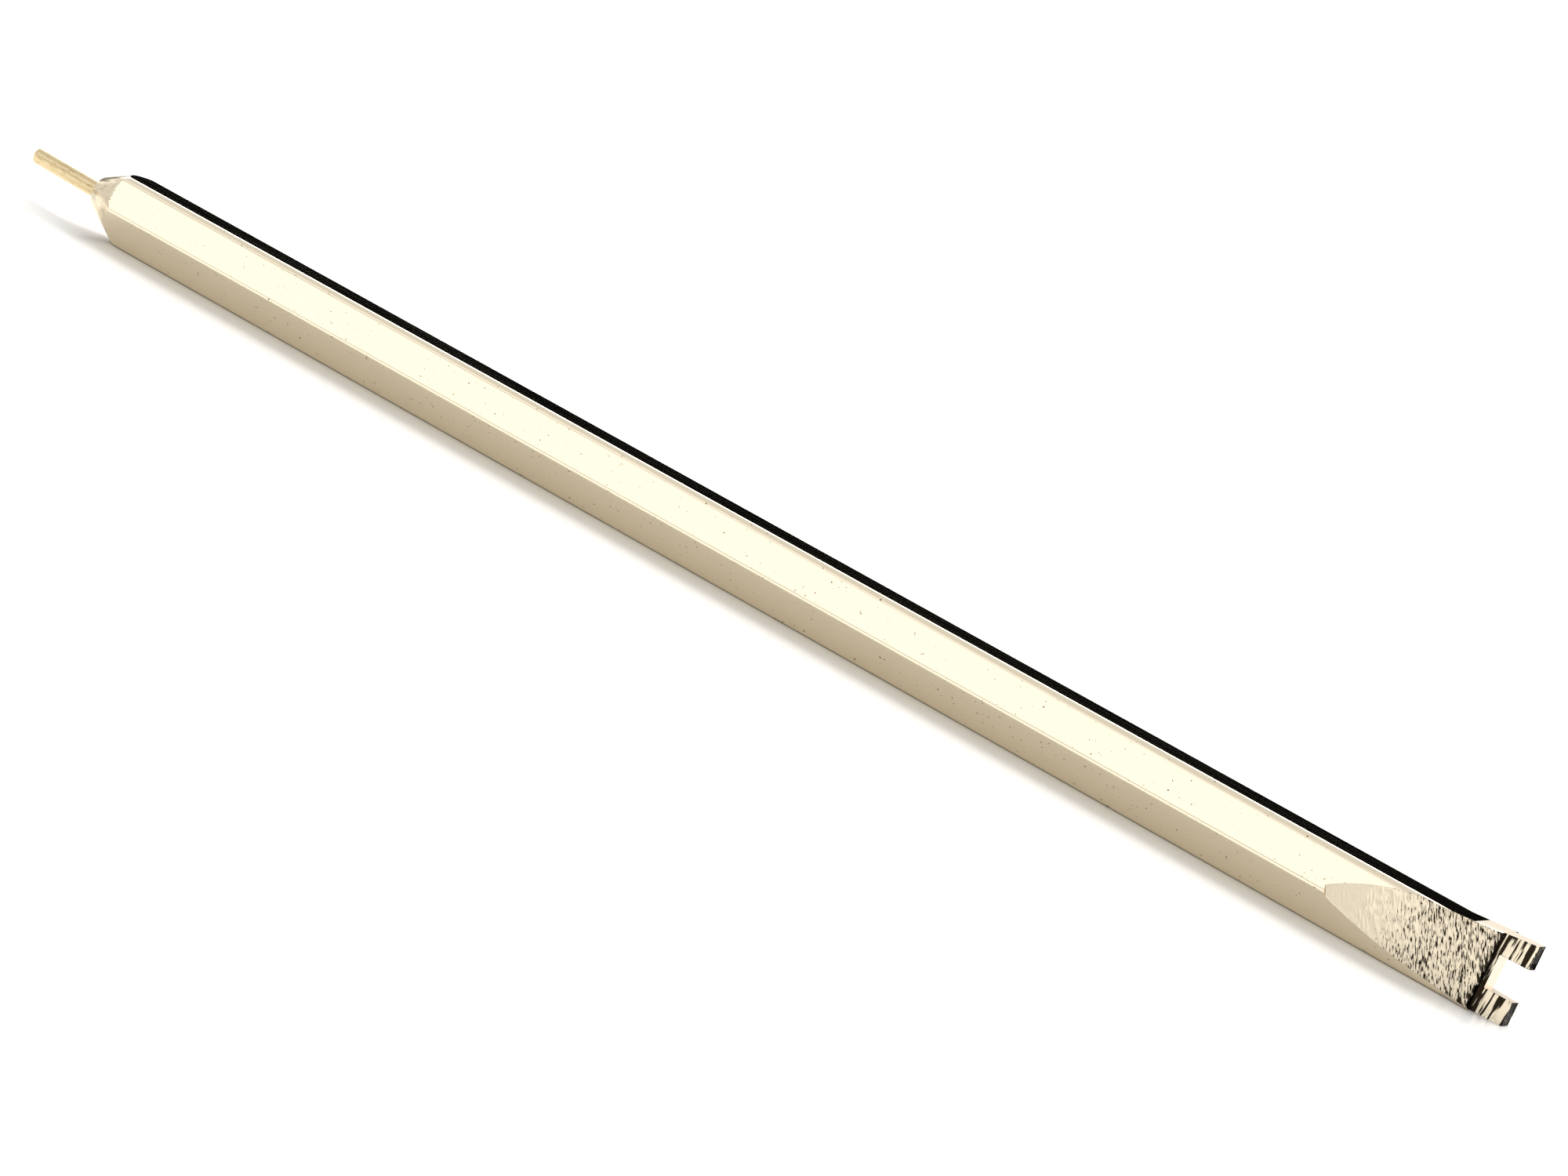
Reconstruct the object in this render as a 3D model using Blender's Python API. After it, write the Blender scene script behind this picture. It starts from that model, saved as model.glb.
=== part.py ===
"""A two-ended spring bar tool for watch straps.

The handle is a nickel-plated hexagonal bar that lies on one of its flats. Its nose is turned to a cone and
holds a round push pin, pressed into a blind bore. Its other end is ground across two opposite corners to a
blade, and the blade is thinned and slotted into a two-tined fork. The tool is finished by hand, so the nose
and pin sit a little above the bar's middle, the wheel marks run aslant, and one tine is spread.

Metres, +Z up. The bar runs along X, with the pin at -X and the fork at +X. The origin is on the surface that
the tool lies on, under the middle of its length.
"""

import math

import bmesh
import bpy
from mathutils import Matrix, Vector

MM = 0.001

# Overall
OVERALL_LENGTH = 130.0 * MM
ACROSS_FLATS = 5.0 * MM
CORNER_RADIUS = 0.25 * MM

# Push pin and its bore, which lean up together
PIN_DIAMETER = 1.3 * MM
PIN_STICKOUT = 6.5 * MM
PIN_SEAT_DEPTH = 8.0 * MM
PIN_TIP_CHAMFER = 0.12 * MM
PIN_LEAN = math.radians(1.0)
PIN_BORE_CLEARANCE = 0.02 * MM
PIN_END_CLEARANCE = 0.3 * MM

# Turned nose, whose centre is off the bar's own by the rise. Its front keeps a flat land round the bore, so its
# shoulder follows the pin
NOSE_LAND = 0.13 * MM
NOSE_SHOULDER_CHAMFER = 0.35 * MM
NOSE_SHOULDER_DIAMETER = PIN_DIAMETER + 2 * (PIN_BORE_CLEARANCE + NOSE_LAND + NOSE_SHOULDER_CHAMFER)
NOSE_CONE_LENGTH = 3.5 * MM
NOSE_RISE = 0.2 * MM

# Ground blade: its thickness is at the shoulder, its wheel marks lean back by the yaw, and its roll leaves the
# lower edge of the front face farther out than the upper
GRIND_LENGTH = 13.5 * MM
GRIND_BITE = 0.2 * MM
GRIND_WHEEL_RADIUS = 30.0 * MM
GRIND_YAW = math.radians(25.0)
BLADE_THICKNESS = 2.55 * MM
BLADE_TAPER_PER_SIDE = math.radians(5.0)
BLADE_ROLL = math.radians(3.5)

# Fork
TINE_LENGTH = 2.3 * MM
TINE_ROOT_THICKNESS = 1.6 * MM
TINE_TIP_THICKNESS = 1.0 * MM
TINE_SPREAD = 0.45 * MM
SPREAD_LENGTH = 5.5 * MM
NOTCH_WIDTH = 2.25 * MM
NOTCH_DEPTH = 2.0 * MM

# How finely round shapes are cut, and how far a cutter reaches past what it cuts
TURNED_STEPS = 96
PIN_STEPS = 48
CORNER_STEPS = 6
WHEEL_ARC_STEPS = 24
OVERSHOOT = 1.0 * MM

CORNER_TO_AXIS = ACROSS_FLATS / 2 / math.cos(math.radians(30))
PIN_TIP_X = -OVERALL_LENGTH / 2
FORK_TIP_X = OVERALL_LENGTH / 2
NOSE_X = PIN_TIP_X + PIN_STICKOUT


def clear_scene():
    for obj in list(bpy.data.objects):
        bpy.data.objects.remove(obj, do_unlink=True)


def metal(name, colour, roughness):
    material = bpy.data.materials.new(name)
    material.use_nodes = True
    shader = material.node_tree.nodes["Principled BSDF"]
    shader.inputs["Base Color"].default_value = (*colour, 1.0)
    shader.inputs["Metallic"].default_value = 1.0
    shader.inputs["Roughness"].default_value = roughness
    return material


def object_from(bm, name, parent):
    """Closes the bmesh into a named object whose faces point outwards, on the bar's axis."""
    bmesh.ops.recalc_face_normals(bm, faces=bm.faces)
    mesh = bpy.data.meshes.new(name)
    bm.to_mesh(mesh)
    bm.free()
    mesh.shade_smooth()
    mesh.set_sharp_from_angle(angle=math.radians(25))
    obj = bpy.data.objects.new(name, mesh)
    bpy.context.scene.collection.objects.link(obj)
    obj.parent = parent
    return obj


def as_helper(obj):
    obj.hide_render = True
    obj.display_type = "WIRE"
    return obj


def cut(target, helper, operation="DIFFERENCE"):
    modifier = target.modifiers.new(helper.name, "BOOLEAN")
    modifier.object = helper
    modifier.operation = operation
    modifier.solver = "EXACT"


def turned(profile, steps):
    """A solid of revolution about X from (x, radius) points whose first and last lie on the axis."""
    bm = bmesh.new()
    points = [bm.verts.new((x, radius, 0.0)) for x, radius in profile]
    for start, end in zip(points, points[1:]):
        bm.edges.new((start, end))
    bmesh.ops.spin(
        bm,
        geom=bm.verts[:] + bm.edges[:],
        cent=(0.0, 0.0, 0.0),
        axis=(1.0, 0.0, 0.0),
        angle=math.tau,
        steps=steps,
        use_merge=True,
    )
    bmesh.ops.remove_doubles(bm, verts=bm.verts, dist=1e-7)
    return bm


def plate(outline, low_z, high_z):
    """A flat plate from an outline of (x, y) points, between two heights."""
    bm = bmesh.new()
    bm.faces.new([bm.verts.new((x, y, low_z)) for x, y in outline])
    grown = bmesh.ops.extrude_face_region(bm, geom=bm.faces[:])["geom"]
    raised = [part for part in grown if isinstance(part, bmesh.types.BMVert)]
    bmesh.ops.translate(bm, verts=raised, vec=(0.0, 0.0, high_z - low_z))
    return bm


def hexagonal_bar():
    """The bar with rounded corners, flats facing up and down, and its fork end spread upwards."""
    bm = bmesh.new()
    bmesh.ops.create_circle(bm, cap_ends=True, segments=6, radius=CORNER_TO_AXIS)
    turn = Matrix.Rotation(math.radians(90), 4, "Y")
    bmesh.ops.transform(bm, matrix=turn, verts=bm.verts)
    bmesh.ops.translate(bm, verts=bm.verts, vec=(NOSE_X, 0.0, 0.0))
    grown = bmesh.ops.extrude_face_region(bm, geom=bm.faces[:])["geom"]
    far_end = [part for part in grown if isinstance(part, bmesh.types.BMVert)]
    bmesh.ops.translate(bm, verts=far_end, vec=(FORK_TIP_X - NOSE_X, 0.0, 0.0))
    long_edges = [edge for edge in bm.edges if abs(edge.verts[0].co.x - edge.verts[1].co.x) > MM]
    bmesh.ops.bevel(
        bm,
        geom=long_edges,
        offset=CORNER_RADIUS * math.tan(math.radians(30)),
        offset_type="OFFSET",
        segments=CORNER_STEPS,
        profile=0.5,
        affect="EDGES",
        material=-1,
    )
    spread_start = Vector((FORK_TIP_X - SPREAD_LENGTH, 0.0, 0.0))
    everything = bm.verts[:] + bm.edges[:] + bm.faces[:]
    bmesh.ops.bisect_plane(bm, geom=everything, plane_co=spread_start, plane_no=(1.0, 0.0, 0.0))
    for vert in bm.verts:
        if vert.co.x > FORK_TIP_X - SPREAD_LENGTH / 2 and vert.co.z > 0:
            vert.co.z += TINE_SPREAD * vert.co.z / (ACROSS_FLATS / 2)
    return bm


def nose_envelope():
    """Everything inside the turned cone at the nose, and more than the bar's width behind it."""
    clear_radius = CORNER_TO_AXIS + NOSE_RISE + TINE_SPREAD + OVERSHOOT
    shoulder = NOSE_SHOULDER_DIAMETER / 2
    slope = (CORNER_TO_AXIS - shoulder) / NOSE_CONE_LENGTH
    chamfer = NOSE_SHOULDER_CHAMFER
    bar_end = FORK_TIP_X - NOSE_X + OVERSHOOT
    return turned(
        [
            (0.0, 0.0),
            (0.0, shoulder - chamfer),
            (chamfer * slope, shoulder + chamfer * slope * slope),
            ((clear_radius - shoulder) / slope, clear_radius),
            (bar_end, clear_radius),
            (bar_end, 0.0),
        ],
        TURNED_STEPS,
    )


def pin_bore():
    radius = PIN_DIAMETER / 2 + PIN_BORE_CLEARANCE
    return turned(
        [(-OVERSHOOT, 0.0), (-OVERSHOOT, radius), (PIN_SEAT_DEPTH, radius), (PIN_SEAT_DEPTH, 0.0)],
        PIN_STEPS,
    )


def push_pin():
    radius = PIN_DIAMETER / 2
    chamfer = PIN_TIP_CHAMFER
    tip = -PIN_STICKOUT
    seat = PIN_SEAT_DEPTH - PIN_END_CLEARANCE
    return turned(
        [
            (tip, 0.0),
            (tip, radius - chamfer),
            (tip + chamfer, radius),
            (seat - chamfer, radius),
            (seat, radius - chamfer),
            (seat, 0.0),
        ],
        PIN_STEPS,
    )


def wheel_outline():
    """The (distance, y) outline of what the yawed wheel removes from the -Y side, measured from the fork tip."""
    squarely = math.cos(GRIND_YAW)
    start = -GRIND_LENGTH * squarely
    shoulder = -TINE_LENGTH * squarely
    end = CORNER_TO_AXIS + OVERSHOOT

    def taper(at):
        return BLADE_THICKNESS / 2 + (shoulder - at) * math.tan(BLADE_TAPER_PER_SIDE)

    rise = CORNER_TO_AXIS - GRIND_BITE - taper(start)
    run = math.sqrt(rise * (2 * GRIND_WHEEL_RADIUS - rise))
    ground = []
    for step in range(WHEEL_ARC_STEPS + 1):
        back = run * (1 - step / WHEEL_ARC_STEPS)
        above = GRIND_WHEEL_RADIUS - math.sqrt(GRIND_WHEEL_RADIUS**2 - back**2)
        at = start + run - back
        ground.append((at, -taper(at) - above))
    outside = CORNER_TO_AXIS + OVERSHOOT
    return ground + [(end, -taper(end)), (end, -outside), (start, -outside)]


def to_side(bm, side):
    """Rolls a cutter made for the -Y side with the blade: side 1 is the same, half a turn round the bar."""
    turn = Matrix.Rotation(side * math.pi - BLADE_ROLL, 3, "X")
    bmesh.ops.rotate(bm, verts=bm.verts, cent=(0.0, 0.0, 0.0), matrix=turn)
    return bm


def grinding(side):
    """What the wheel removes on one side of the blade."""
    reach = (CORNER_TO_AXIS + TINE_SPREAD) / math.cos(GRIND_YAW) + GRIND_LENGTH * math.sin(GRIND_YAW)
    bm = plate(wheel_outline(), -reach, reach)
    bmesh.ops.rotate(bm, verts=bm.verts, cent=(0.0, 0.0, 0.0), matrix=Matrix.Rotation(-GRIND_YAW, 3, "Y"))
    bmesh.ops.translate(bm, verts=bm.verts, vec=(FORK_TIP_X, 0.0, 0.0))
    return to_side(bm, side)


def thinning(side):
    """What is filed off one side of the tines, square to the bar, past the shoulder."""
    shoulder_x = FORK_TIP_X - TINE_LENGTH
    end_x = FORK_TIP_X + OVERSHOOT
    slope = (TINE_ROOT_THICKNESS - TINE_TIP_THICKNESS) / 2 / TINE_LENGTH
    outside = CORNER_TO_AXIS + OVERSHOOT
    outline = [
        (shoulder_x, -TINE_ROOT_THICKNESS / 2),
        (end_x, -TINE_TIP_THICKNESS / 2 + slope * OVERSHOOT),
        (end_x, -outside),
        (shoulder_x, -outside),
    ]
    reach = CORNER_TO_AXIS + TINE_SPREAD + OVERSHOOT
    return to_side(plate(outline, -reach, reach), side)


def notch():
    """The slot between the tines, centred on the spread end and square to the blade."""
    middle_z = TINE_SPREAD / 2
    low_x = FORK_TIP_X - NOTCH_DEPTH
    high_x = FORK_TIP_X + OVERSHOOT
    reach = CORNER_TO_AXIS + OVERSHOOT
    outline = [(low_x, -reach), (high_x, -reach), (high_x, reach), (low_x, reach)]
    bm = plate(outline, middle_z - NOTCH_WIDTH / 2, middle_z + NOTCH_WIDTH / 2)
    centre = Vector((0.0, 0.0, middle_z))
    bmesh.ops.rotate(bm, verts=bm.verts, cent=centre, matrix=Matrix.Rotation(-BLADE_ROLL, 3, "X"))
    return bm


def make_handle(bar_axis, nose_axis, pin_axis):
    handle = object_from(hexagonal_bar(), "forked_hex_handle", bar_axis)
    handle.data.materials.append(metal("nickel plate", (0.78, 0.73, 0.64), 0.12))
    cut(handle, as_helper(object_from(nose_envelope(), "nose_envelope", nose_axis)), "INTERSECT")
    cut(handle, as_helper(object_from(pin_bore(), "pin_bore", pin_axis)))
    for side, name in enumerate(("front", "back")):
        cut(handle, as_helper(object_from(grinding(side), name + "_grinding", bar_axis)))
        cut(handle, as_helper(object_from(thinning(side), name + "_thinning", bar_axis)))
    cut(handle, as_helper(object_from(notch(), "fork_notch", bar_axis)))


def make_pin(pin_axis):
    pin = object_from(push_pin(), "push_pin", pin_axis)
    pin.data.materials.append(metal("pin steel", (0.72, 0.66, 0.55), 0.3))


def empty(name, location, parent=None):
    marker = bpy.data.objects.new(name, None)
    marker.location = location
    marker.parent = parent
    bpy.context.scene.collection.objects.link(marker)
    return marker


def main():
    clear_scene()
    bar_axis = empty("bar_axis", (0.0, 0.0, ACROSS_FLATS / 2))
    nose_axis = empty("nose_axis", (NOSE_X, 0.0, NOSE_RISE), bar_axis)
    pin_axis = empty("pin_axis", (0.0, 0.0, 0.0), nose_axis)
    pin_axis.rotation_euler.y = PIN_LEAN
    make_handle(bar_axis, nose_axis, pin_axis)
    make_pin(pin_axis)


main()
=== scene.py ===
# %% [markdown]
# # A spring bar tool
#
# The tool is one length of plated hexagonal bar. A thin steel pin is pressed into its turned nose, and
# its other end is ground to a blade and slotted into a fork. A maker finishes it by hand, so the looks
# are in the marks: bright plate on the flats, slanted wheel scratches on the blade, file marks on the
# tines, and a torn edge where the tines were thinned.
#
# The frame already holds both solids at their real size. Here each one is copied and given the fine
# surface that a solid leaves out, and then the light, the camera and the finishes are added.

# %% Load the frame
import math
import random

import bmesh
import bpy
import numpy as np
from mathutils import Matrix, Quaternion, Vector, noise


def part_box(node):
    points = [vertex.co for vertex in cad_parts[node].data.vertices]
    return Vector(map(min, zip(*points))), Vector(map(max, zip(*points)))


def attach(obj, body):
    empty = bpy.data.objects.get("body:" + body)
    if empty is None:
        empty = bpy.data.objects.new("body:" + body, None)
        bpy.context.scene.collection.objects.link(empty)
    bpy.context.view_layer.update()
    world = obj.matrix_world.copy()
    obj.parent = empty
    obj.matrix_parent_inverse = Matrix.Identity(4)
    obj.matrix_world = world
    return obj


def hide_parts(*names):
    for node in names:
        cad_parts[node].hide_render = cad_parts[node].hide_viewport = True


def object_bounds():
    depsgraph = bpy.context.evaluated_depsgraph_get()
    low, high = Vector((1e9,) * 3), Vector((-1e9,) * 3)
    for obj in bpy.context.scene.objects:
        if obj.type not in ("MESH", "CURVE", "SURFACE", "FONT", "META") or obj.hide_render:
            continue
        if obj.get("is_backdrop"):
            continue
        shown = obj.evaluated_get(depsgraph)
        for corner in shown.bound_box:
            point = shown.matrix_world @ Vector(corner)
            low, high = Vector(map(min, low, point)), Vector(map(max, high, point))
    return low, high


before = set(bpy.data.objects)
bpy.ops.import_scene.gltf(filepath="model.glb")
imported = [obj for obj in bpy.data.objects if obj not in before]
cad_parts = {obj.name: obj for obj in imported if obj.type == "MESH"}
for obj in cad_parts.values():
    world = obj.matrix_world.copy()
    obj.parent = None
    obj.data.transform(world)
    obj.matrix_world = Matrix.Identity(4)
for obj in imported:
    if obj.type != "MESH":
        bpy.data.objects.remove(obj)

MM = 0.001
cad_low, cad_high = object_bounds()
handle_low, handle_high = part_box("forked_hex_handle")
pin_low, pin_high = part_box("push_pin")
print("handle, mm:", [round(side / MM, 2) for side in handle_high - handle_low])
print("pin, mm:", [round(side / MM, 2) for side in pin_high - pin_low])

# %% [markdown]
# ## Sizes that the finishes follow
#
# A finish has to know where it starts and stops. The ends of the bar come from the frame. The lengths
# below are the ones that the maker works to, measured back from the fork's tip or forward from the nose.
# The nose's zone is a little longer than its cone, so that it takes in the whole of the curved edge where
# the cone meets the flats.

# %% Sizes of the worked zones
FORK_TIP_X = handle_high.x
NOSE_X = handle_low.x
ACROSS_FLATS = 5.0 * MM
AXIS_Z = ACROSS_FLATS / 2
NOSE_ZONE_LENGTH = 3.7 * MM
GRIND_LENGTH = 13.5 * MM
GRIND_YAW = math.radians(25.0)
BLADE_ROLL = math.radians(3.5)
TINE_LENGTH = 2.3 * MM

GRIND_START_X = FORK_TIP_X - GRIND_LENGTH
SHOULDER_X = FORK_TIP_X - TINE_LENGTH
print("blade starts at x =", round(GRIND_START_X / MM, 1), "mm; tines at", round(SHOULDER_X / MM, 1), "mm")

# %% [markdown]
# ## Camera
#
# A long lens held low and to the right of the pin end. It keeps the bar's sides nearly parallel, and the
# low height lets the top flat show as a thin dark band. The camera is turned about its own line of sight,
# so that the bar runs across the picture on a slant.

# %% Place the camera
SENSOR_WIDTH_MM = 36.0
LENS_MM = 124.59
CAMERA_PLACE = Vector((178.49, -308.81, 75.13)) * MM
CAMERA_RIGHT = Vector((0.76667, 0.51771, 0.37972))
CAMERA_FORWARD = Vector((-0.47695, 0.85518, -0.20295))

camera_data = bpy.data.cameras.new("camera")
camera_data.lens = LENS_MM
camera_data.sensor_width = SENSOR_WIDTH_MM
camera_data.clip_start = 10 * MM
camera_data.clip_end = 50.0
camera = bpy.data.objects.new("camera", camera_data)
bpy.context.scene.collection.objects.link(camera)

right = CAMERA_RIGHT.normalized()
back = -CAMERA_FORWARD.normalized()
up = back.cross(right).normalized()
turn = Matrix((right, up, back)).transposed().to_4x4()
camera.matrix_world = Matrix.Translation(CAMERA_PLACE) @ turn
bpy.context.scene.camera = camera
print("camera looks down by", round(math.degrees(math.asin(-CAMERA_FORWARD.z)), 1), "degrees")

# %% [markdown]
# ## Light
#
# Bright metal has no look of its own: it shows what is round it. So the light is set by what each face
# has to mirror. A long soft light hangs high behind the tool, and lays its shadow towards the viewer. A
# second one, on the viewer's side, is what the upper front flat shows. It is tilted to follow that flat's
# reflection, which sits higher at the fork than at the pin. A weak third one lights the nose from the
# pin's end. Low down behind the tool the room is dark, and that darkness is what the top flat shows.
#
# The lights are far away and large, so they light the whole floor evenly. The world is a bright room all
# round, with that one dark side, and it adds to each light that hangs in front of it.

# %% One function for nodes, one for colours
def add(tree, kind, links=None, **settings):
    """Adds a node, sets its properties, and gives each named socket a value or another node's output."""
    node = tree.nodes.new(kind)
    for name, value in settings.items():
        setattr(node, name, value)
    for socket, value in (links or {}).items():
        if isinstance(value, bpy.types.NodeSocket):
            tree.links.new(value, node.inputs[socket])
        else:
            node.inputs[socket].default_value = value
    return node


def linear(hex_colour):
    """The linear RGBA of an sRGB hex colour such as #d8ccb8."""
    channels = [int(hex_colour[at : at + 2], 16) / 255 for at in (1, 3, 5)]
    return (*[c / 12.92 if c <= 0.04045 else ((c + 0.055) / 1.055) ** 2.4 for c in channels], 1.0)


print("mid grey #808080 is", round(linear("#808080")[0], 3), "in linear light")


# %% Soft lights
LIGHT_DISTANCE = 6.0


def soft_light(name, direction, sides, tilt, radiance):
    """A rectangular area light, aimed at the origin and tilted about its aim, with the given radiance."""
    data = bpy.data.lights.new(name, "AREA")
    data.shape = "RECTANGLE"
    data.size, data.size_y = sides
    data.energy = radiance * math.pi * data.size * data.size_y
    light = bpy.data.objects.new(name, data)
    away = Vector(direction).normalized()
    light.location = away * LIGHT_DISTANCE
    aim = away.to_track_quat("Z", "Y") @ Quaternion((0.0, 0.0, 1.0), math.radians(tilt))
    light.rotation_euler = aim.to_euler()
    bpy.context.scene.collection.objects.link(light)
    print(name, "is", round(math.degrees(math.asin(away.z))), "degrees above the floor")


soft_light("high_back_light", direction=(0.0, 0.731, 0.682), sides=(14.0, 4.0), tilt=0.0, radiance=5.2)
soft_light("front_light", direction=(-0.536, -0.674, 0.508), sides=(4.8, 2.3), tilt=27.0, radiance=0.6)
soft_light("left_light", direction=(-0.885, 0.273, 0.379), sides=(2.4, 2.4), tilt=0.0, radiance=0.7)

# %% A bright room with one dark side
ROOM_RADIANCE = 0.85
DARK_WAY = (-0.45, 0.87, 0.12)
DARK_EDGE = math.cos(math.radians(20))
ROOM_EDGE = math.cos(math.radians(45))

world = bpy.data.worlds.new("studio")
world.use_nodes = True
bpy.context.scene.world = world
tree = world.node_tree
tree.nodes.clear()
coordinate = add(tree, "ShaderNodeTexCoord")
towards_dark = add(
    tree,
    "ShaderNodeVectorMath",
    {0: coordinate.outputs["Generated"], 1: Vector(DARK_WAY).normalized()},
    operation="DOT_PRODUCT",
)
room = add(
    tree,
    "ShaderNodeMapRange",
    {
        "Value": towards_dark.outputs["Value"],
        "From Min": ROOM_EDGE,
        "From Max": DARK_EDGE,
        "To Min": ROOM_RADIANCE,
        "To Max": 0.0,
    },
    interpolation_type="SMOOTHSTEP",
)
sky = add(tree, "ShaderNodeBackground", {"Color": linear("#ffffff"), "Strength": room.outputs["Result"]})
add(tree, "ShaderNodeOutputWorld", {"Surface": sky.outputs["Background"]})
print("room radiance", ROOM_RADIANCE)

bpy.context.scene.view_settings.view_transform = "Standard"
bpy.context.scene.view_settings.look = "None"

# %% [markdown]
# ## Floor
#
# A sheet of white card with a slight sheen, much larger than the tool, so its edge never shows. Seen this
# low the sheen shows a blurred image of the bar in front of it, which deepens the shadow.

# %% Make the floor
FLOOR_RADIUS = 6.0
CARD = "#f1f0ed"
CARD_ROUGHNESS = 0.28

bm = bmesh.new()
bmesh.ops.create_circle(bm, cap_ends=True, segments=64, radius=FLOOR_RADIUS)
floor_mesh = bpy.data.meshes.new("floor")
bm.to_mesh(floor_mesh)
bm.free()
floor = bpy.data.objects.new("floor", floor_mesh)
bpy.context.scene.collection.objects.link(floor)

paper = bpy.data.materials.new("white_card")
paper.use_nodes = True
paper_shader = paper.node_tree.nodes["Principled BSDF"]
paper_shader.inputs["Base Color"].default_value = linear(CARD)
paper_shader.inputs["Roughness"].default_value = CARD_ROUGHNESS
floor_mesh.materials.append(paper)
floor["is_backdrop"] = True
print("floor is", 2 * FLOOR_RADIUS, "m across")

# %% [markdown]
# ## Finishes
#
# Every finish here is bare or plated metal, so each is the same shader with its metallic value at 1. What
# makes them different is how the surface was worked, and that is drawn with noise and waves on the
# object's own coordinates. A pattern's scale is worked out from the real size of a mark in millimetres.

# %% Start a metal
def metal(name, colour, roughness):
    """A new metal material, with its node tree, its shader and the object's coordinates."""
    material = bpy.data.materials.new(name)
    material.use_nodes = True
    tree = material.node_tree
    shader = tree.nodes["Principled BSDF"]
    shader.inputs["Base Color"].default_value = linear(colour)
    shader.inputs["Metallic"].default_value = 1.0
    shader.inputs["Roughness"].default_value = roughness
    place = add(tree, "ShaderNodeTexCoord").outputs["Object"]
    return material, tree, shader, place


def stretched(tree, place, sizes_mm, yaw=0.0):
    """Coordinates turned about Y, in which a mark of the given size along X, Y and Z is one unit long."""
    turned = add(tree, "ShaderNodeMapping", {"Vector": place, "Rotation": (0.0, yaw, 0.0)})
    scale = tuple(1 / (size * MM) for size in sizes_mm)
    scaled = add(tree, "ShaderNodeMapping", {"Vector": turned.outputs["Vector"], "Scale": scale})
    return scaled.outputs["Vector"]


print("patterns use object coordinates in metres, so a 1 mm mark needs scale", round(1 / MM))


# %% [markdown]
# ### Bright nickel plate
#
# The flats are drawn steel under bright nickel. Nickel is a warm, slightly yellow white metal. Plating is
# smooth, but it follows the faint lines that the drawing die left along the bar, and it leaves a few tiny
# pits.

# %% Nickel plate
PLATE = "#ecdfc6"
DRAW_LINE_MM = (9.0, 0.12, 0.12)
DRAW_LINE_HEIGHT = 0.003 * MM
GLOSS_RANGE = (0.05, 0.1)
PIT_MM = 0.22
PIT_NOISE = (0.72, 0.78)
PIT_COLOUR = "#7a5a42"

nickel, tree, shader, place = metal("bright_nickel_plate", PLATE, 0.07)
lines = add(
    tree, "ShaderNodeTexNoise", {"Vector": stretched(tree, place, DRAW_LINE_MM), "Scale": 1.0, "Detail": 2.0}
)
pits = add(
    tree,
    "ShaderNodeTexNoise",
    {"Vector": stretched(tree, place, (PIT_MM, PIT_MM, PIT_MM)), "Scale": 1.0, "Detail": 1.0},
)
pit_mask = add(
    tree,
    "ShaderNodeMapRange",
    {"Value": pits.outputs["Fac"], "From Min": PIT_NOISE[0], "From Max": PIT_NOISE[1]},
)
pitted = add(
    tree,
    "ShaderNodeMix",
    {0: pit_mask.outputs["Result"], 6: linear(PLATE), 7: linear(PIT_COLOUR)},
    data_type="RGBA",
)
gloss = add(
    tree,
    "ShaderNodeMapRange",
    {
        "Value": lines.outputs["Fac"],
        "From Min": 0.3,
        "From Max": 0.7,
        "To Min": GLOSS_RANGE[0],
        "To Max": GLOSS_RANGE[1],
    },
)
relief = add(
    tree, "ShaderNodeBump", {"Height": lines.outputs["Fac"], "Strength": 0.1, "Distance": DRAW_LINE_HEIGHT}
)
tree.links.new(pitted.outputs[2], shader.inputs["Base Color"])
tree.links.new(gloss.outputs["Result"], shader.inputs["Roughness"])
tree.links.new(relief.outputs["Normal"], shader.inputs["Normal"])
print("nickel plate:", len(tree.nodes), "nodes")

# %% [markdown]
# ### Ground steel
#
# The blade's two faces are cut by a coarse grinding wheel held a little askew. The wheel bites harder
# towards the tip, so the start of the face is nearly smooth, and its far end is full of short, deep
# scratches that all lean the same way. The scratches are painted dark, as painted shade in their hollows. The
# noise here draws most of them, and the deepest are also cut into the mesh further down. Both sides of the
# blade use the same slant.

# %% Ground steel
GROUND = "#e9dcc3"
# The scratches' hollows are painted this dark, as painted shade.
GROOVE_SHADE = "#2a2219"
SCRATCH_MM = (0.075, 1.0, 0.42)
ROUGH_PATCH_MM = 1.6
PATCH_WEIGHT = 0.14
COARSER_START = 2.0 * MM
COARSER_END = 6.0 * MM
COARSER_BY = (-0.17, 0.085)
# Towards the step the scratches are painted darker, as painted shade of the step, and their bump there
# deepens where the metal tore.
STEP_SHADE_START = 0.4 * MM
STEP_SHADE_END = 0.05 * MM
TEAR_AND_SHADE_BY = 0.13
GROOVE_SHADE_NOISE = (0.66, 0.75)
MARK_HEIGHT = 0.03 * MM

ground, tree, shader, place = metal("ground_steel", GROUND, 0.3)
scratches = add(
    tree,
    "ShaderNodeTexNoise",
    {"Vector": stretched(tree, place, SCRATCH_MM, GRIND_YAW), "Scale": 1.0, "Detail": 2.0, "Roughness": 0.5},
)
patches = add(
    tree,
    "ShaderNodeTexNoise",
    {"Vector": stretched(tree, place, (ROUGH_PATCH_MM,) * 3), "Scale": 1.0, "Detail": 1.0},
)
along = add(tree, "ShaderNodeSeparateXYZ", {"Vector": place})
coarser = add(
    tree,
    "ShaderNodeMapRange",
    {
        "Value": along.outputs["X"],
        "From Min": GRIND_START_X + COARSER_START,
        "From Max": GRIND_START_X + COARSER_END,
        "To Min": COARSER_BY[0],
        "To Max": COARSER_BY[1],
    },
)
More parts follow.
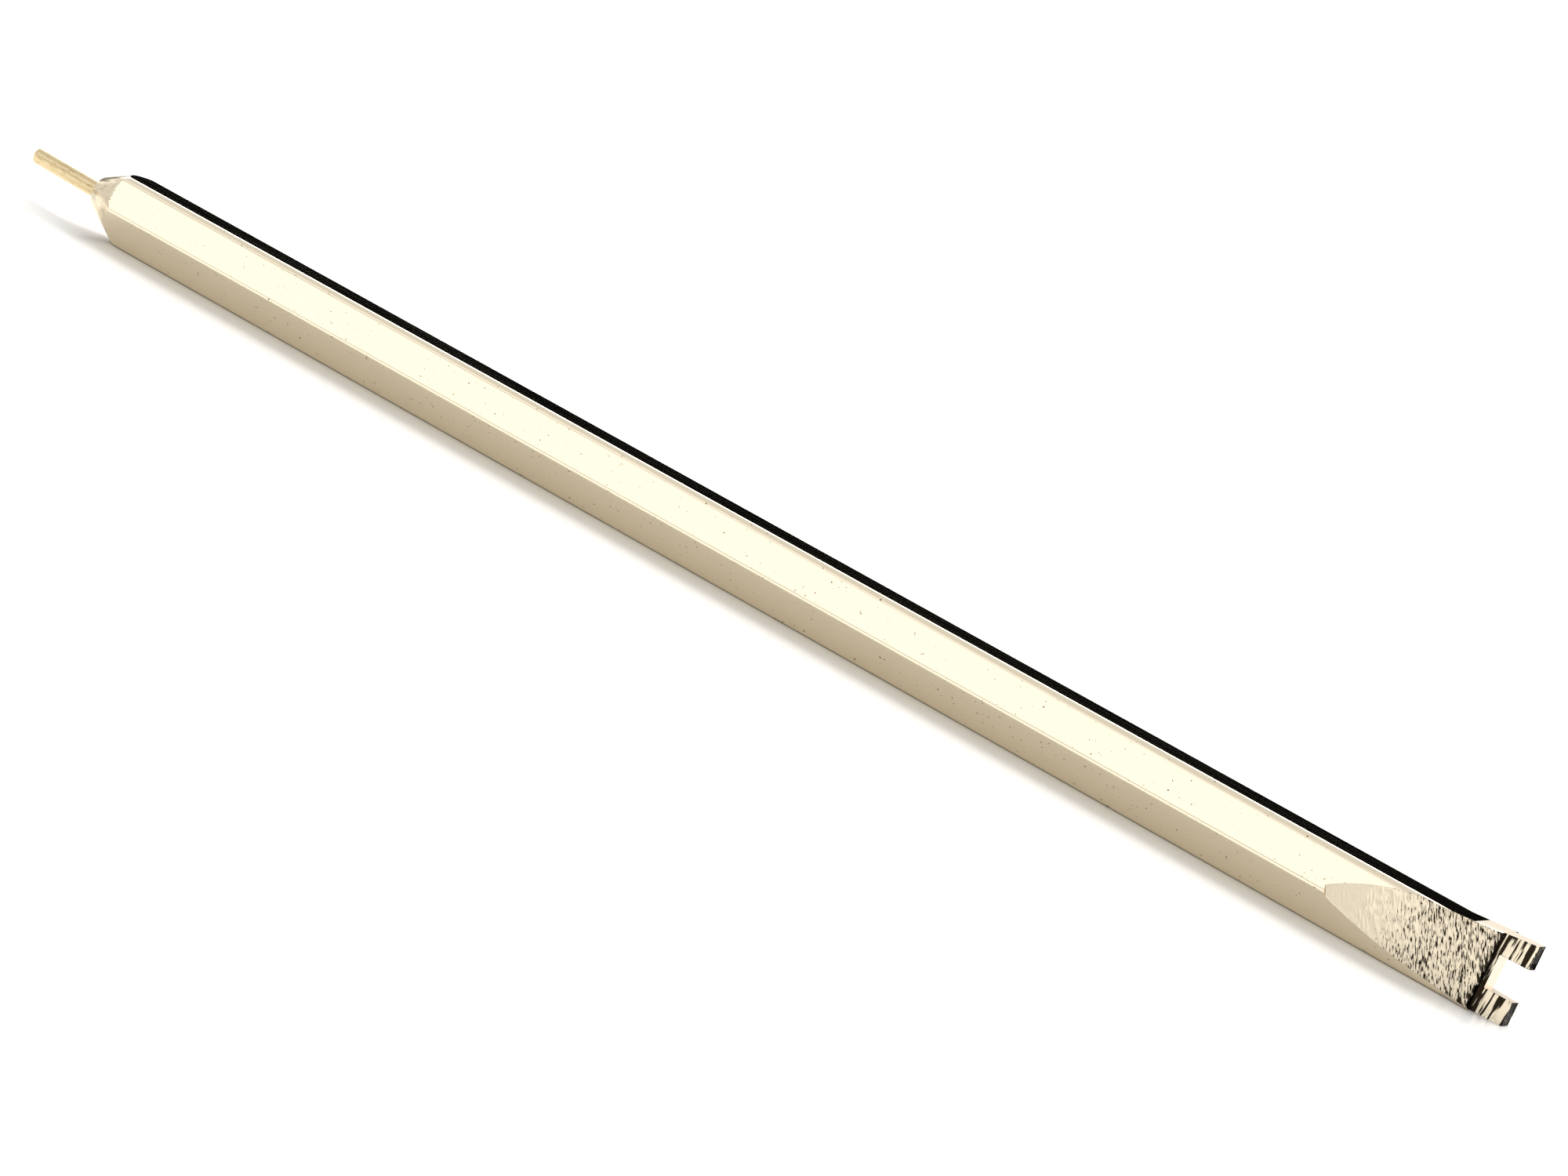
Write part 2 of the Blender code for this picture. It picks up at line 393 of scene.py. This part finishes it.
# Painted shade: darker marks towards the step at the tines' foot, with a deeper bump where the metal tore.
torn_and_shaded = add(
    tree,
    "ShaderNodeMapRange",
    {
        "Value": along.outputs["X"],
        "From Min": SHOULDER_X - STEP_SHADE_START,
        "From Max": SHOULDER_X - STEP_SHADE_END,
        "To Min": 0.0,
        "To Max": TEAR_AND_SHADE_BY,
    },
)
coarse = add(
    tree, "ShaderNodeMath", {0: coarser.outputs["Result"], 1: torn_and_shaded.outputs["Result"]}, operation="ADD"
)
uneven = add(
    tree,
    "ShaderNodeMath",
    {0: patches.outputs["Fac"], 1: PATCH_WEIGHT, 2: coarse.outputs["Value"]},
    operation="MULTIPLY_ADD",
)
depth = add(
    tree, "ShaderNodeMath", {0: scratches.outputs["Fac"], 1: uneven.outputs["Value"]}, operation="ADD"
)
# Painted shade: where the pattern runs deepest it is coloured dark.
groove_shade_mask = add(
    tree,
    "ShaderNodeMapRange",
    {"Value": depth.outputs["Value"], "From Min": GROOVE_SHADE_NOISE[0], "From Max": GROOVE_SHADE_NOISE[1]},
)
groove_shaded = add(
    tree,
    "ShaderNodeMix",
    {0: groove_shade_mask.outputs["Result"], 6: linear(GROUND), 7: linear(GROOVE_SHADE)},
    data_type="RGBA",
)
relief = add(
    tree,
    "ShaderNodeBump",
    {"Height": depth.outputs["Value"], "Strength": 0.8, "Distance": MARK_HEIGHT},
    invert=True,
)
tree.links.new(groove_shaded.outputs[2], shader.inputs["Base Color"])
tree.links.new(relief.outputs["Normal"], shader.inputs["Normal"])
print("ground steel:", len(tree.nodes), "nodes")

# %% [markdown]
# ### Filed tines
#
# A file drawn up and down across the tines leaves a few broad ribs, upright and uneven. Their hollows are
# painted dark, as painted shade.

# %% Filed steel
FILE_RIB_MM = (0.2, 1.0, 2.2)
FILE_LEAN = math.radians(-6)
# Painted shade: the tines' ribs are painted darker towards the step at their foot.
FOOT_SHADE_START = 0.15 * MM
FOOT_SHADE_END = 0.4 * MM
FOOT_SHADE_BY = 0.11
# The ribs are painted dark over this range of their pattern, as painted shade.
RIB_SHADE_NOISE = (0.48, 0.54)

filed, tree, shader, place = metal("filed_steel", GROUND, 0.3)
ribs = add(
    tree,
    "ShaderNodeTexNoise",
    {"Vector": stretched(tree, place, FILE_RIB_MM, FILE_LEAN), "Scale": 1.0, "Detail": 2.0},
)
along = add(tree, "ShaderNodeSeparateXYZ", {"Vector": place})
# Painted shade near the step at the tines' foot.
torn_and_shaded = add(
    tree,
    "ShaderNodeMapRange",
    {
        "Value": along.outputs["X"],
        "From Min": SHOULDER_X + FOOT_SHADE_START,
        "From Max": SHOULDER_X + FOOT_SHADE_END,
        "To Min": FOOT_SHADE_BY,
        "To Max": 0.0,
    },
)
rib_shade_amount = add(
    tree, "ShaderNodeMath", {0: ribs.outputs["Fac"], 1: torn_and_shaded.outputs["Result"]}, operation="ADD"
)
# Painted shade in the ribs' hollows.
rib_shade_mask = add(
    tree,
    "ShaderNodeMapRange",
    {"Value": rib_shade_amount.outputs["Value"], "From Min": RIB_SHADE_NOISE[0], "From Max": RIB_SHADE_NOISE[1]},
)
rib_shaded = add(
    tree,
    "ShaderNodeMix",
    {0: rib_shade_mask.outputs["Result"], 6: linear(GROUND), 7: linear(GROOVE_SHADE)},
    data_type="RGBA",
)
relief = add(
    tree,
    "ShaderNodeBump",
    {"Height": ribs.outputs["Fac"], "Strength": 0.6, "Distance": MARK_HEIGHT},
    invert=True,
)
tree.links.new(rib_shaded.outputs[2], shader.inputs["Base Color"])
tree.links.new(relief.outputs["Normal"], shader.inputs["Normal"])
print("filed steel:", len(tree.nodes), "nodes")

# %% [markdown]
# ### Torn step and tine ends in painted shade
#
# Where the tines were thinned the metal tore. The step at the foot of the tines and their square ends are
# painted nearly black as painted shade, with bright flecks where the metal shows.

# %% Painted shade on the step and the tine ends
# The near-black of the step and the tine ends is painted shade.
END_SHADE = "#0c0907"
FLECK = "#8f7c5e"
FLECK_MM = 0.25

shaded_ends, tree, shader, place = metal("shaded_ends_steel", END_SHADE, 0.6)
flecks = add(
    tree,
    "ShaderNodeTexNoise",
    {"Vector": stretched(tree, place, (FLECK_MM,) * 3), "Scale": 1.0, "Detail": 3.0},
)
fleck_mask = add(
    tree, "ShaderNodeMapRange", {"Value": flecks.outputs["Fac"], "From Min": 0.6, "From Max": 0.7}
)
flecked = add(
    tree,
    "ShaderNodeMix",
    {0: fleck_mask.outputs["Result"], 6: linear(END_SHADE), 7: linear(FLECK)},
    data_type="RGBA",
)
relief = add(
    tree, "ShaderNodeBump", {"Height": flecks.outputs["Fac"], "Strength": 0.8, "Distance": MARK_HEIGHT}
)
tree.links.new(flecked.outputs[2], shader.inputs["Base Color"])
tree.links.new(relief.outputs["Normal"], shader.inputs["Normal"])
print("scorched steel:", len(tree.nodes), "nodes")

# %% [markdown]
# ### Dressed steel
#
# The narrow faces at the fork, the notch's walls and the outer edges of the tines, have lost their plate.
# They were rubbed down with fine abrasive, so they are even and satin.

# %% Dressed steel
GRAIN_MM = (0.3, 0.06, 0.06)
GRAIN_HEIGHT = 0.01 * MM

dressed, tree, shader, place = metal("dressed_steel", "#dccfbc", 0.33)
grain = add(
    tree, "ShaderNodeTexNoise", {"Vector": stretched(tree, place, GRAIN_MM), "Scale": 1.0}
)
relief = add(
    tree, "ShaderNodeBump", {"Height": grain.outputs["Fac"], "Strength": 0.3, "Distance": GRAIN_HEIGHT}
)
tree.links.new(relief.outputs["Normal"], shader.inputs["Normal"])
print("dressed steel:", len(tree.nodes), "nodes")

# %% [markdown]
# ### Turned steel
#
# The nose and the pin come off a lathe, whose tool leaves fine rings round the axis. Real rings are too
# fine to see from the camera, so they are drawn a few times coarser. The pin is hardened and tempered to
# a straw colour, a little yellower than the bar.

# %% Turned nose and pin
WAVE_PERIOD = math.tau / 20
RING_HEIGHT = 0.008 * MM
STAIN_MM = (0.5, 0.25, 0.25)


def turned_steel(name, colour, roughness, ring_mm, stain):
    """Steel with lathe rings along X and a little uneven stain."""
    material, tree, shader, place = metal(name, colour, roughness)
    rings = add(
        tree,
        "ShaderNodeTexWave",
        {"Vector": place, "Scale": WAVE_PERIOD / (ring_mm * MM), "Distortion": 0.6, "Detail": 1.0},
    )
    cloud = add(
        tree, "ShaderNodeTexNoise", {"Vector": stretched(tree, place, STAIN_MM), "Scale": 1.0}
    )
    mask = add(
        tree, "ShaderNodeMapRange", {"Value": cloud.outputs["Fac"], "From Min": 0.5, "From Max": 0.75}
    )
    stained = add(
        tree,
        "ShaderNodeMix",
        {0: mask.outputs["Result"], 6: linear(colour), 7: linear(stain)},
        data_type="RGBA",
    )
    relief = add(
        tree, "ShaderNodeBump", {"Height": rings.outputs["Fac"], "Strength": 0.12, "Distance": RING_HEIGHT}
    )
    tree.links.new(stained.outputs[2], shader.inputs["Base Color"])
    tree.links.new(relief.outputs["Normal"], shader.inputs["Normal"])
    print(name + ":", len(tree.nodes), "nodes")
    return material


nose_steel = turned_steel("turned_nickel_nose", "#e6d8be", 0.28, 0.12, "#cdbb9c")
pin_steel = turned_steel("tempered_pin_steel", "#d6c39b", 0.33, 0.09, "#bda67c")

# %% [markdown]
# ## The handle
#
# The solid's mesh is loose triangles, so a copy of it is merged first, and the triangles that share a
# plane are dissolved into whole faces. The real object's own worked edges are never razor sharp, so those
# at the fork get a tiny bevel. Making the piece from the solid, and not afresh, keeps every size true.

# %% Copy the solid into whole faces
PLANE_ANGLE = math.radians(0.3)
MERGE = 0.0005 * MM


def whole_faces(node):
    """A bmesh of a frame node with its triangles merged into whole flat faces."""
    bm = bmesh.new()
    bm.from_mesh(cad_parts[node].data)
    bmesh.ops.remove_doubles(bm, verts=bm.verts, dist=MERGE)
    bmesh.ops.dissolve_limit(bm, angle_limit=PLANE_ANGLE, verts=bm.verts, edges=bm.edges)
    bmesh.ops.recalc_face_normals(bm, faces=bm.faces)
    return bm


handle = whole_faces("forked_hex_handle")
print("handle starts with", len(handle.faces), "faces")

# %% Sort the faces by how they were worked
# The step and the tines' ends take a finish of painted shade.
FINISHES = ("nickel", "ground", "filed", "shaded_ends", "nose", "dressed")
NICKEL, GROUND_FACE, FILED_FACE, SHADED_END_FACE, NOSE_FACE, DRESSED_FACE = range(len(FINISHES))
DRESSED_LENGTH = 4.2 * MM
FLAT_SLANT = 0.93
CONE_SLANT = 0.2
END_SLANT = 0.7
SKIN = 0.05 * MM

blade_out = Vector((0.0, -math.cos(BLADE_ROLL), math.sin(BLADE_ROLL)))


def is_notch_end(place):
    """Whether a place is on the flat end of the notch, between the tines' roots and tips."""
    return SHOULDER_X + SKIN < place.x < FORK_TIP_X - SKIN


def worked(face):
    """The finish of a face, from where it is and which way it looks."""
    centre = face.calc_center_median()
    across = abs(face.normal.dot(blade_out))
    if centre.x < NOSE_X + NOSE_ZONE_LENGTH and abs(face.normal.x) > CONE_SLANT:
        return NOSE_FACE
    # Faces towards the tip at the step and the tines' ends take the painted shade.
    if centre.x > SHOULDER_X - SKIN and face.normal.x > END_SLANT:
        return DRESSED_FACE if is_notch_end(centre) else SHADED_END_FACE
    if centre.x > SHOULDER_X and across > FLAT_SLANT:
        return FILED_FACE
    if centre.x > GRIND_START_X - SKIN and across > FLAT_SLANT:
        return GROUND_FACE
    if centre.x > FORK_TIP_X - DRESSED_LENGTH and face.normal.x < FLAT_SLANT:
        return DRESSED_FACE
    return NICKEL


everything = handle.verts[:] + handle.edges[:] + handle.faces[:]
dressed_start = Vector((FORK_TIP_X - DRESSED_LENGTH, 0.0, 0.0))
bmesh.ops.bisect_plane(handle, geom=everything, plane_co=dressed_start, plane_no=(1.0, 0.0, 0.0))
for face in handle.faces:
    face.material_index = worked(face)
for kind, finish in enumerate(FINISHES):
    print(finish, "faces:", sum(face.material_index == kind for face in handle.faces))

# %% Ease the fork's edges
EASED_ANGLE = math.radians(22)
EASE = 0.03 * MM
EASE_MARGIN = 0.5 * MM

sharp = [
    edge
    for edge in handle.edges
    if len(edge.link_faces) == 2
    and edge.calc_face_angle() > EASED_ANGLE
    and min(vert.co.x for vert in edge.verts) > GRIND_START_X - EASE_MARGIN
]
bmesh.ops.bevel(
    handle,
    geom=sharp,
    offset=EASE,
    offset_type="OFFSET",
    segments=2,
    profile=0.5,
    affect="EDGES",
    clamp_overlap=True,
    material=-1,
)
print("eased", len(sharp), "edges")

# %% [markdown]
# ### Flats that roll off
#
# A drawn bar's flats aren't dead flat. Near the corners they roll off by two hundredths of a millimetre,
# which hardly changes its size, but gives every flat a soft band along each edge in what it mirrors.

# %% Roll the flats off towards their corners
ROLL_WIDTH = 0.6 * MM
ROLL_DROP = 0.02 * MM
ROLL_STEPS = 4
ROLL_TOLERANCE = 1e-7
HEX_DEGREES = 60
HALF_FLAT = ACROSS_FLATS / 2 * math.tan(math.radians(HEX_DEGREES / 2))

axis_point = Vector((0.0, 0.0, AXIS_Z))
for flat in range(3):
    turn = math.radians(HEX_DEGREES * flat)
    along_flat = Vector((0.0, math.cos(turn), math.sin(turn)))
    for side in (-1, 1):
        for step in range(ROLL_STEPS):
            off = side * (HALF_FLAT - ROLL_WIDTH * (1 - step / ROLL_STEPS))
            bmesh.ops.bisect_plane(
                handle,
                geom=[face for face in handle.faces if face.material_index == NICKEL]
                + [edge for edge in handle.edges if any(f.material_index == NICKEL for f in edge.link_faces)]
                + [vert for vert in handle.verts if any(f.material_index == NICKEL for f in vert.link_faces)],
                plane_co=axis_point + along_flat * off,
                plane_no=along_flat,
                dist=ROLL_TOLERANCE,
            )

rolled = 0
for vert in handle.verts:
    if not any(face.material_index == NICKEL for face in vert.link_faces):
        continue
    spoke = Vector((0.0, vert.co.y, vert.co.z - AXIS_Z))
    from_flat = math.atan2(spoke.z, spoke.y) % math.radians(HEX_DEGREES) - math.radians(HEX_DEGREES / 2)
    past = abs(spoke.length * math.sin(from_flat)) - (HALF_FLAT - ROLL_WIDTH)
    if past > 0:
        drop = ROLL_DROP * min(1.0, past / ROLL_WIDTH) ** 2
        vert.co -= spoke.normalized() * drop
        rolled += 1
print("rolled off at", rolled, "points")

# %% [markdown]
# ### Scratches that are really there
#
# The deep marks show in the blade's outline and catch the light from every side, so they are cut into the
# mesh. A mesh can only bend where it has points. So the worked faces are sliced into narrow strips first,
# along the same slant as the wheel's marks, and crossways more coarsely. Then each point sinks as deep as
# the marks over it.

# %% Slice the worked faces
STRIP = 0.07 * MM
CROSS_STRIP = 0.16 * MM
SLICE_TOLERANCE = 1e-8


def slice_faces(bm, kinds, normal, start, stop, step):
    """Cuts faces of these finishes with parallel planes, one at each step along the normal."""
    geom = [face for face in bm.faces if face.material_index in kinds]
    geom += list({edge for face in geom for edge in face.edges})
    geom += list({vert for edge in geom if isinstance(edge, bmesh.types.BMEdge) for vert in edge.verts})
    for number in range(math.ceil((stop - start) / step)):
        at = Vector(normal) * (start + step * number)
        cut = bmesh.ops.bisect_plane(bm, geom=geom, plane_co=at, plane_no=normal, dist=SLICE_TOLERANCE)
        geom = cut["geom"]


wheel_way = Vector((math.cos(GRIND_YAW), 0.0, math.sin(GRIND_YAW)))
reach = wheel_way.z * handle_high.z
wheel_start = wheel_way.x * GRIND_START_X
slice_faces(handle, {GROUND_FACE}, wheel_way, wheel_start, wheel_way.x * SHOULDER_X + reach, STRIP)
slice_faces(handle, {FILED_FACE}, Vector((1.0, 0.0, 0.0)), SHOULDER_X, FORK_TIP_X, STRIP)
worked_kinds = {GROUND_FACE, FILED_FACE, SHADED_END_FACE}
slice_faces(handle, worked_kinds, Vector((0.0, 0.0, 1.0)), 0.0, handle_high.z, CROSS_STRIP)
print("handle now has", len(handle.faces), "faces")

# %% Draw the marks at random, the same each run
SEED = 11
WHEEL_MARKS = 900
MARK_LENGTH_MM = (0.25, 0.8)
MARK_WIDTH_MM = (0.04, 0.08)
MARK_DEPTH_MM = (0.02, 0.06)
SMOOTH_START = 2.5 * MM
CROWDING = 1.5


def wheel_marks(rng):
    """Marks as (along, up, half length, half width, depth), crowding towards the shoulder."""
    marks = []
    for _ in range(WHEEL_MARKS):
        x = SHOULDER_X - (SHOULDER_X - GRIND_START_X - SMOOTH_START) * rng.random() ** CROWDING
        z = rng.uniform(0.0, handle_high.z)
        marks.append(
            (
                x * wheel_way.x + z * wheel_way.z,
                z * wheel_way.x - x * wheel_way.z,
                rng.uniform(*MARK_LENGTH_MM) / 2 * MM,
                rng.uniform(*MARK_WIDTH_MM) * MM,
                rng.uniform(*MARK_DEPTH_MM) * MM,
            )
        )
    return np.array(marks)


def sunk(along, up, marks):
    """How deep each point lies under the marks: the deepest one over it counts."""
    depth = np.zeros(len(along))
    for mark_along, mark_up, half_length, half_width, deep in marks:
        over = 1 - ((up - mark_up) / half_length) ** 2 - ((along - mark_along) / half_width) ** 2
        depth = np.maximum(depth, deep * np.clip(over, 0, 1))
    return depth


print(WHEEL_MARKS, "marks on each side, up to", max(MARK_DEPTH_MM), "mm deep")

# %% Cut the wheel's marks
def inner_points(bm, kind):
    """The points whose every face has this finish, so that the face's border stays where it is."""
    return [
        vert
        for vert in bm.verts
        if vert.link_faces and all(face.material_index == kind for face in vert.link_faces)
    ]


rng = random.Random(SEED)
for side in (-1, 1):
    inward = blade_out * side
    points = [v for v in inner_points(handle, GROUND_FACE) if v.normal.dot(inward) < 0]
    place = np.array([v.co for v in points])
    along = place[:, 0] * wheel_way.x + place[:, 2] * wheel_way.z
    up_slant = place[:, 2] * wheel_way.x - place[:, 0] * wheel_way.z
    for vert, depth in zip(points, sunk(along, up_slant, wheel_marks(rng))):
        vert.co += inward * float(depth)
    print("wheel marks on", len(points), "points, side", side)

# %% Cut the file's ribs and tear the step
RIB_DEPTH = 0.07 * MM
RIB_LENGTH = 0.28 * MM
TEAR_DEPTH = 0.16 * MM
TEAR_LENGTH = 0.35 * MM
RIB_STRETCH = 6
RIB_BIAS = 0.15
SIDE_NOISE = 5.0

for side in (-1, 1):
    inward = blade_out * side
    for vert in inner_points(handle, FILED_FACE):
        if vert.normal.dot(inward) < 0:
            spot = Vector((vert.co.x / RIB_LENGTH, side * SIDE_NOISE, vert.co.z / RIB_LENGTH / RIB_STRETCH))
            vert.co += inward * RIB_DEPTH * max(0.0, noise.noise(spot) + RIB_BIAS)
step_points = inner_points(handle, SHADED_END_FACE)
for vert in step_points:
    spot = vert.co / TEAR_LENGTH
    vert.co.x -= TEAR_DEPTH * abs(noise.noise(spot))
print("torn step points:", len(step_points))

# %% Make the step's lip ragged
LIP_REACH = 0.06 * MM
LIP_SHIFT = 0.32 * MM
LIP_LENGTH = 0.3 * MM
LIP_LEVEL = 1.05 * MM
LIP_NOISE = (7.0, 0.5)

ragged = 0
for vert in handle.verts:
    out_from_middle = Vector((0.0, vert.co.y, vert.co.z - AXIS_Z)).dot(blade_out)
    if abs(vert.co.x - SHOULDER_X) < LIP_REACH and abs(out_from_middle) > LIP_LEVEL:
        spot = Vector((vert.co.z / LIP_LENGTH, math.copysign(LIP_NOISE[0], out_from_middle), LIP_NOISE[1]))
        vert.co.x += LIP_SHIFT * max(0.0, noise.noise(spot))
        ragged += 1
print("ragged lip points:", ragged)

# %% [markdown]
# ### Finish the handle
#
# The flats have to mirror like flats. Smooth shading alone would bend their edges towards the rounded
# corners, so the Weighted Normal modifier gives each point the direction of its largest face.

# %% Make the handle's object
SHARP_ANGLE = math.radians(32)


def finished(name, bm, materials, node):
    """An object from a bmesh, shaded, riding on the frame and standing for its node."""
    mesh = bpy.data.meshes.new(name)
    bm.to_mesh(mesh)
    bm.free()
    mesh.shade_smooth()
    mesh.set_sharp_from_angle(angle=SHARP_ANGLE)
    for material in materials:
        mesh.materials.append(material)
    piece = bpy.data.objects.new(name, mesh)
    bpy.context.scene.collection.objects.link(piece)
    weighted = piece.modifiers.new("flat_flats", "WEIGHTED_NORMAL")
    weighted.keep_sharp = True
    weighted.weight = 80
    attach(piece, "root")
    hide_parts(node)
    print(name, "has", len(mesh.polygons), "faces")


bmesh.ops.triangulate(handle, faces=[face for face in handle.faces if len(face.verts) > 4])
finished(
    "hex_bar_with_fork",
    handle,
    [nickel, ground, filed, shaded_ends, nose_steel, dressed],
    "forked_hex_handle",
)

# %% [markdown]
# ## The pin
#
# A profile is spun round the pin's own axis: a slightly domed tip whose edge is rounded by use, a long
# shank, and the plain end that sits in the bore. The axis leans up by a degree, so the finished shape is
# turned about the point where the pin enters the nose.

# %% Spin the pin
PIN_RADIUS = 0.65 * MM
PIN_LEAN = math.radians(1.0)
NOSE_RISE = 0.2 * MM
PIN_STICKOUT = 6.5 * MM
PIN_SEAT = 7.7 * MM
TIP_ROUND = 0.16 * MM
TIP_DOME = 0.04 * MM
ROUND_STEPS = 6
PIN_STEPS = 64

profile = [(-PIN_STICKOUT, 0.0)]
for step in range(ROUND_STEPS + 1):
    turn = math.pi / 2 * step / ROUND_STEPS
    along = -PIN_STICKOUT + TIP_DOME + TIP_ROUND * (1 - math.cos(turn))
    profile.append((along, PIN_RADIUS - TIP_ROUND + TIP_ROUND * math.sin(turn)))
profile += [(0.0, PIN_RADIUS), (PIN_SEAT - TIP_ROUND, PIN_RADIUS), (PIN_SEAT, PIN_RADIUS - TIP_ROUND)]
profile += [(PIN_SEAT, 0.0)]

pin = bmesh.new()
points = [pin.verts.new((x, radius, 0.0)) for x, radius in profile]
for start, end in zip(points, points[1:]):
    pin.edges.new((start, end))
bmesh.ops.spin(
    pin,
    geom=pin.verts[:] + pin.edges[:],
    cent=(0.0, 0.0, 0.0),
    axis=(1.0, 0.0, 0.0),
    angle=math.tau,
    steps=PIN_STEPS,
    use_merge=True,
)
bmesh.ops.remove_doubles(pin, verts=pin.verts, dist=MERGE)
bmesh.ops.recalc_face_normals(pin, faces=pin.faces)
bmesh.ops.rotate(pin, verts=pin.verts, cent=(0.0, 0.0, 0.0), matrix=Matrix.Rotation(PIN_LEAN, 3, "Y"))
bmesh.ops.translate(pin, verts=pin.verts, vec=(NOSE_X, 0.0, AXIS_Z + NOSE_RISE))
finished("press_fitted_pin", pin, [pin_steel], "push_pin")

# %% [markdown]
# ## Check the size and finish
#
# The fine surface should leave the tool at the size of its solids. How much the box grew over the solids'
# box is printed.

# %% Print how much the box grew
new_low, new_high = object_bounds()
growth = [(new - old) / MM for new, old in zip(new_high - new_low, cad_high - cad_low)]
print("grew by, mm:", [round(side, 3) for side in growth])
